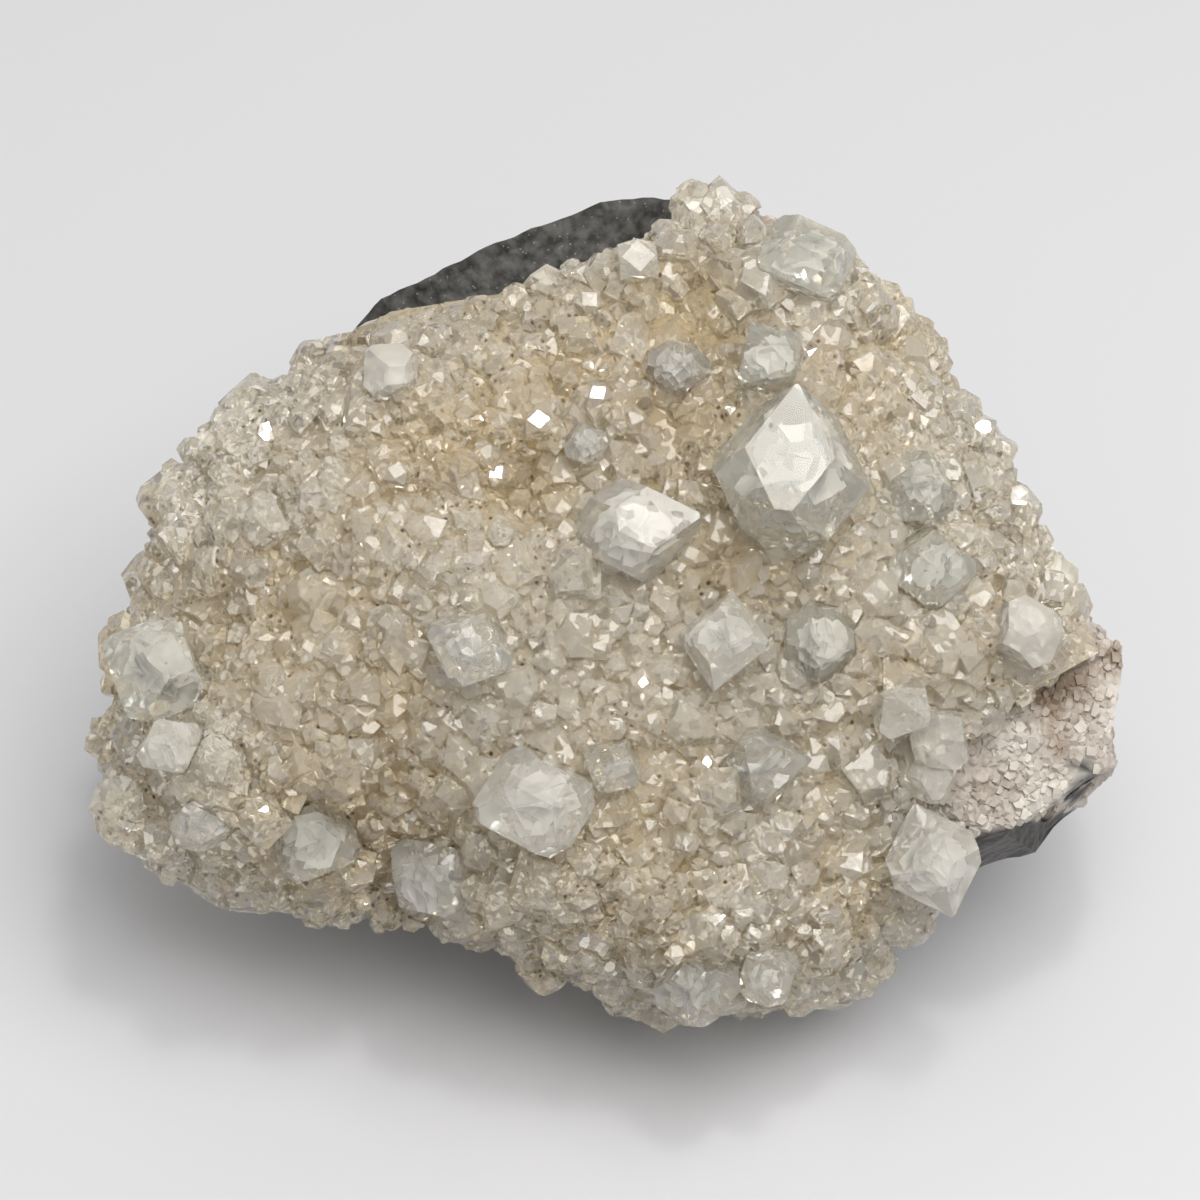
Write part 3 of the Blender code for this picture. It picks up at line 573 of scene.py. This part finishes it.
def crystal_finish(name, pale, deep, clearness):
    """Clear to milky apophyllite: pale rims, tan stains, brown dust and many small facets.

    It reads five attributes: stain_and_shade (tan stain with painted shade), dust, rim_highlight (where white is
    painted as a highlight), tone for each crystal, and flaw, the share of small tilted facets.
    """
    made, shader = material(name)
    nodes, links = made.node_tree.nodes, made.node_tree.links
    flecks = nodes.new("ShaderNodeTexVoronoi")
    flecks.inputs["Scale"].default_value = 1000
    links.new(nodes.new("ShaderNodeTexCoord").outputs["Object"], flecks.inputs["Vector"])

    def attribute(label):
        read = nodes.new("ShaderNodeAttribute")
        read.attribute_name = label
        return read.outputs["Fac"]

    def ranged(value, low, high, to_high=1.0):
        mapped = nodes.new("ShaderNodeMapRange")
        mapped.inputs["From Min"].default_value = low
        mapped.inputs["From Max"].default_value = high
        mapped.inputs["To Max"].default_value = to_high
        links.new(value, mapped.inputs["Value"])
        return mapped.outputs["Result"]

    def mixed(factor, one, two):
        mix = nodes.new("ShaderNodeMix")
        mix.data_type = "RGBA"
        links.new(factor, mix.inputs["Factor"])
        mix.inputs["B"].default_value = (*two, 1)
        if isinstance(one, tuple):
            mix.inputs["A"].default_value = (*one, 1)
        else:
            links.new(one, mix.inputs["A"])
        return mix.outputs["Result"]

    def vectors(operation, one, two):
        made_node = nodes.new("ShaderNodeVectorMath")
        made_node.operation = operation
        links.new(one, made_node.inputs[0])
        if isinstance(two, tuple):
            made_node.inputs[1].default_value = two
        else:
            links.new(two, made_node.inputs["Scale" if operation == "SCALE" else 1])
        return made_node.outputs["Vector"]

    # The deep colour follows stain_and_shade: a real tan stain, with painted shade laid into the recesses and grooves.
    colour = mixed(attribute("stain_and_shade"), pale, deep)
    colour = mixed(ranged(attribute("tone"), 0.75, 1.0, 0.5), colour, WHITE)
    # Painted highlight: white near each facet's outline stands in for the light caught on the crystals' edges.
    colour = mixed(ranged(attribute("rim_highlight"), 0.90, 1.0, 0.75), colour, WHITE)
    speck = nodes.new("ShaderNodeMath")
    speck.operation = "MULTIPLY"
    links.new(ranged(flecks.outputs["Distance"], 0.28, 0.16), speck.inputs[0])
    links.new(attribute("dust"), speck.inputs[1])
    colour = mixed(speck.outputs["Value"], colour, DUST)
    links.new(colour, shader.inputs["Base Color"])
    shader.inputs["Transmission Weight"].default_value = clearness
    shader.inputs["Roughness"].default_value = 0.035
    shader.inputs["IOR"].default_value = 1.535
    lean = vectors("SUBTRACT", flecks.outputs["Color"], (0.5, 0.5, 0.5))
    lean = vectors("SCALE", lean, ranged(attribute("flaw"), 0.0, 1.0, 1.3))
    facing = vectors("ADD", nodes.new("ShaderNodeNewGeometry").outputs["Normal"], lean)
    normal = nodes.new("ShaderNodeVectorMath")
    normal.operation = "NORMALIZE"
    links.new(facing, normal.inputs[0])
    links.new(normal.outputs["Vector"], shader.inputs["Normal"])
    return made


def faceted_copy(node, name):
    """A merged copy of a CAD node with its flat faces made whole, each then fanned about its middle for its edges."""
    shape = bmesh.new()
    shape.from_mesh(frame["nodes"][node].data)
    bmesh.ops.remove_doubles(shape, verts=shape.verts, dist=1e-6)
    bmesh.ops.dissolve_limit(shape, angle_limit=math.radians(1), verts=shape.verts, edges=shape.edges)
    middles = bmesh.ops.poke(shape, faces=shape.faces[:])["verts"]
    # The rim_highlight layer marks the outlines, where the finish paints a white highlight.
    layer = shape.verts.layers.float.new("rim_highlight")
    inner = set(middles)
    for vertex in shape.verts:
        vertex[layer] = 0.0 if vertex in inner else 1.0
    mesh = bpy.data.meshes.new(name)
    shape.to_mesh(mesh)
    shape.free()
    mesh.shade_flat()
    made = bpy.data.objects.new(name, mesh)
    bpy.context.scene.collection.objects.link(made)
    return made


druse_finish = crystal_finish("druse", (0.99, 0.955, 0.855), (0.90, 0.76, 0.51), 0.76)

TEMPLATES = [
    crystal_template(fall, end, 1.1) for fall, end in
    ((0.55, 0.30), (0.70, 0.24), (0.80, 0.16), (0.62, 0.36), (0.90, 0.05), (0.50, 0.38), (0.75, 0.10), (0.66, 0.28))
]
# Spacing, widths, rise of the tips as shares of the width, most lean, and the most that a seat may stand out
CRYSTAL_SIZES = (
    (3.3 * MM, (2.0 * MM, 4.4 * MM), (0.12, 0.36), math.radians(44), 1.1 * MM),
    (1.85 * MM, (1.2 * MM, 2.4 * MM), (0.26, 0.52), math.radians(54), 0.9 * MM),
)
# Crystals whose flat end mirrors the lamp to the photographer: right and up on the face, and width, all in mm
MIRRORS = (
    (3.8, 30.4, 3.3), (6.4, 29.1, 2.2), (-5.2, 16.0, 2.4), (-0.2, 18.5, 2.2), (22.6, -23.0, 3.6), (-15.0, -11.3, 1.8),
    (35.0, 12.2, 1.7), (38.5, 9.4, 1.5), (-1.2, 27.0, 2.4), (-9.4, 11.3, 1.8), (-18.0, 11.3, 1.8), (18.8, -14.1, 2.4),
    (9.4, -16.0, 1.8), (-28.2, 4.7, 1.5), (-16.0, -27.5, 1.8), (30.1, 16.9, 1.6), (5.6, -31.0, 1.7), (-37.0, 16.0, 1.5),
)
LAMP_WAY = unit((np.array(lamp.location) - LUMP_MIDDLE)[None])
MIRROR_WAY = unit(LAMP_WAY + FACE_AXES[2])
MIRROR_TEMPLATES = [crystal_template(0.6, 0.44, 1.1)]


def on_face(places):
    """The crust's outermost random seats at places given as right and up on the face."""
    flat = to_face(ALL_SEATS)
    found = []
    for right, up in places:
        aside = (flat[:, 0] - right) ** 2 + (flat[:, 1] - up) ** 2
        found.append(np.argmax(flat[:, 2] - aside / MM))
    return ALL_SEATS[found]


ground = refined_copy("crystal_crust", "druse", 0)
set_attribute(ground.data, "tone", np.full(len(ground.data.polygons), 0.4), "FACE")
set_attribute(ground.data, "flaw", np.full(len(ground.data.polygons), 0.8), "FACE")
members = bpy.data.collections.new("druse_members")
bpy.context.scene.collection.children.link(members)
mirror_places = np.array(MIRRORS) * MM
mirror_seats = on_face(mirror_places[:, :2])
# The mirror crystals get a tone of 0.95 or more, so their colour is painted half white: a painted highlight over the
# real glint of their flat ends.
grown = [(*crystal_bodies(
    mirror_seats, mirror_places[:, 2], (0.40, 0.55), 0, MIRROR_TEMPLATES, crust_rng,
    np.repeat(MIRROR_WAY, len(mirror_seats), axis=0)), MIRROR_TEMPLATES, 0.95, 0.0)]
for spacing, (narrow, wide), rise, most_lean, highest in CRYSTAL_SIZES:
    seats = thinned(ALL_SEATS, spacing)
    widths = narrow + (wide - narrow) * crust_rng.random(len(seats)) ** 1.4
    free = (depth_in_large(seats) < -0.2 * widths) & (standing(seats) < highest)
    grown.append((*crystal_bodies(
        seats[free], widths[free], rise, most_lean, TEMPLATES, crust_rng), TEMPLATES, 0.0, 1.0))
for size, (bodies, kinds, templates, least_tone, most_flaw) in enumerate(grown):
    groups = apart_groups(bodies)
    for group in range(groups.max() + 1):
        here = groups == group
        member = joined(
            f"druse_member_{size}_{group}", bodies[here], kinds[here], templates, crust_rng, least_tone, most_flaw)
        bpy.context.scene.collection.objects.unlink(member)
        members.objects.link(member)
    print("druse", len(bodies), groups.max() + 1)
join = ground.modifiers.new("join", "BOOLEAN")
join.operation = "UNION"
join.solver = "MANIFOLD"
join.operand_type = "COLLECTION"
join.collection = members
bpy.context.view_layer.update()
whole = bpy.data.meshes.new_from_object(ground.evaluated_get(bpy.context.evaluated_depsgraph_get()))
ground.modifiers.remove(join)
ground.data = whole
for member in list(members.objects):
    bpy.data.meshes.remove(member.data)
bpy.data.collections.remove(members)


def fan_faces(mesh, smallest):
    """Fans each face larger than an area about its middle, and gives 1 for each vertex in a groove, else 0.

    The rim_highlight value is 0 in the middle of a fanned face and 1 at its outline, where the finish paints a white
    highlight. A groove is where two crystals meet.
    """
    shape = bmesh.new()
    shape.from_mesh(mesh)
    rim_highlight = shape.loops.layers.float.new("rim_highlight")
    middles = bmesh.ops.poke(shape, faces=[face for face in shape.faces if face.calc_area() > smallest])["verts"]
    for middle in middles:
        for loop in middle.link_loops:
            loop.link_loop_next[rim_highlight] = 1.0
            loop.link_loop_prev[rim_highlight] = 1.0
    bmesh.ops.triangulate(shape, faces=[face for face in shape.faces if len(face.verts) > 3])
    shape.verts.index_update()
    groove = np.zeros(len(shape.verts))
    groove[[vertex.index for line in shape.edges if len(line.link_faces) == 2 and not line.is_convex
            and line.calc_face_angle(0) > 0.15 for vertex in line.verts]] = 1
    shape.to_mesh(mesh)
    shape.free()
    mesh.shade_flat()
    return groove


def between(values, low, high):
    """Values as a share of the way from low to high, held from 0 to 1."""
    return np.clip((values - low) / (high - low), 0, 1)


groove = fan_faces(ground.data, 2.2 * MM ** 2)
ground_points = positions(ground.data)
hollow = between(-standing(ground_points), -1.2 * MM, 1.2 * MM)
brown = between(brownness_and_shade(ground_points), 0.1, 1.0)
# Painted shade: the stain turns tan down in the hollows and along the grooves where crystals meet, over the real tan
# stain of the brown clouds and patches.
set_attribute(ground.data, "stain_and_shade", np.clip(0.8 * brown + 0.6 * between(hollow, 0.4, 0.9) + 0.3 * groove, 0, 1))
dusty = between(lattice_noise(ground_points, 2.6 * MM, 23), -0.05, 0.30)
set_attribute(ground.data, "dust", dusty * np.clip(0.3 + 0.7 * groove + between(hollow, 0.5, 0.85), 0, 1))
finish_piece(ground, druse_finish, "crystal_crust", "crystal_crust")
print("druse triangles", len(ground.data.polygons))


# The sugar on the bare coat: milky grains of quartz, grown where no apophyllite covers the chalcedony.
def covered(points):
    """True where the crust lies over a point: one of its places is near the line up from it along the growth way."""
    growth = growth_way(points)
    over = np.zeros(len(points), bool)
    for start in range(0, len(points), 2000):
        some = slice(start, start + 2000)
        apart = SURROUNDINGS[None] - points[some, None]
        along = np.einsum("nmi,ni->nm", apart, growth[some])
        aside = (apart ** 2).sum(axis=2) - along ** 2
        over[some] = ((along > -0.4 * MM) & (aside < (1.4 * MM) ** 2)).any(axis=1)
    return over


SUGAR_TEMPLATES = [crystal_template(fall, end, 1.0) for fall, end in ((0.45, 0.20), (0.55, 0.12), (0.38, 0.30))]
coat_seats = thinned(seats_on("chalcedony_crust", 60000, crust_rng), 0.75 * MM)
coat_seats = coat_seats[~covered(coat_seats)]
coat_seats = coat_seats[worn_coat(coat_seats) < 0.3]
sugar = joined("coat_sugar", *crystal_bodies(
    coat_seats, crust_rng.uniform(0.6 * MM, 1.2 * MM, len(coat_seats)), (0.02, 0.14), math.radians(35),
    SUGAR_TEMPLATES, crust_rng), SUGAR_TEMPLATES, crust_rng)
finish_piece(sugar, coat.data.materials[0], "chalcedony")
print("coat_sugar", len(coat_seats))


# The large crystals: the ones that stand proud of the druse, clear to milky and faintly green, with sharp edges along
# which white is painted as a painted highlight. Each has the faces of its solid.
LARGE_COLOURS = {
    "clear_apophyllite": ((0.99, 0.95, 0.80), (0.97, 0.89, 0.68), 0.86),
    "green_apophyllite": ((0.965, 0.955, 0.73), (0.93, 0.88, 0.61), 0.84),
    "milky_apophyllite": ((0.99, 0.945, 0.79), (0.96, 0.88, 0.67), 0.78),
    "cream_apophyllite": ((0.985, 0.915, 0.72), (0.94, 0.83, 0.57), 0.70),
}
slots = {row["node"]: row["material_slot"] for row in frame["record"]["subparts"]}
large_finishes = {
    label: crystal_finish(label, pale, deep, clearness)
    for label, (pale, deep, clearness) in LARGE_COLOURS.items()
}
for node in LARGE_NODES:
    stone = faceted_copy(node, node.replace("crystal_", "large_"))
    stone_points = positions(stone.data)
    # Half the druse's brownness_and_shade: a real tan stain, partly painted shade in the recesses.
    set_attribute(stone.data, "stain_and_shade", 0.5 * brownness_and_shade(stone_points))
    set_attribute(stone.data, "flaw", np.full(len(stone_points), 0.10))
    finish_piece(stone, large_finishes[slots[node]], slots[node], node)

# Veils inside the large crystals: old cracks that healed, which throw back the light as thin white sheets.
VEILS_EACH = 7
VEIL_SIDES = 12


def veil_shape(rng):
    """A thin closed lens of radius 1 with a ragged edge: two middles, a hair apart, joined to one ring of points."""
    turn = np.arange(VEIL_SIDES) * 2 * math.pi / VEIL_SIDES
    reach = rng.uniform(0.45, 1.0, VEIL_SIDES)
    ring = np.c_[reach * np.cos(turn), reach * np.sin(turn), rng.uniform(-0.12, 0.12, VEIL_SIDES)]
    middles = np.array(((0, 0, 0.03), (0, 0, -0.03)))
    here = np.arange(VEIL_SIDES)
    after = (here + 1) % VEIL_SIDES
    upper = np.c_[here, after, np.full(VEIL_SIDES, VEIL_SIDES)]
    lower = np.c_[after, here, np.full(VEIL_SIDES, VEIL_SIDES + 1)]
    return np.vstack((ring, middles)), np.vstack((upper, lower))


veil_points, veil_triangles = [], []
for node in LARGE_NODES:
    corners = triangle_corners(node)
    across = np.cross(corners[:, 1] - corners[:, 0], corners[:, 2] - corners[:, 0])
    real = np.linalg.norm(across, axis=1) > 1e-9
    outward = unit(across[real])
    reach = (outward * corners[real, 0]).sum(axis=1)
    share = crust_rng.dirichlet(np.full(len(corners), 0.25), 40)
    places = share @ corners.mean(axis=1)
    room_about = (reach - places @ outward.T).min(axis=1)
    best = np.argsort(-room_about)[:VEILS_EACH * 2:2]
    for place, free_radius in zip(places[best], room_about[best]):
        if free_radius < 0.3 * MM:
            continue
        shape, faces = veil_shape(crust_rng)
        way = unit(crust_rng.normal(size=(1, 3)))[0]
        right = unit(np.cross(way, crust_rng.normal(size=3))[None])[0]
        turned = np.stack((right, np.cross(way, right), way))
        veil_triangles.append(faces + sum(len(points) for points in veil_points))
        veil_points.append(place + shape @ turned * free_radius * 0.95)
veils = mesh_object("veils", np.vstack(veil_points), np.vstack(veil_triangles))
veil_finish, veil_shader = material("healed_cracks")
veil_shader.inputs["Base Color"].default_value = (0.96, 0.95, 0.93, 1)
veil_shader.inputs["Roughness"].default_value = 0.25
veil_shader.inputs["Transmission Weight"].default_value = 0.35
finish_piece(veils, veil_finish, "clear_apophyllite")
print("veils", len(veil_points))
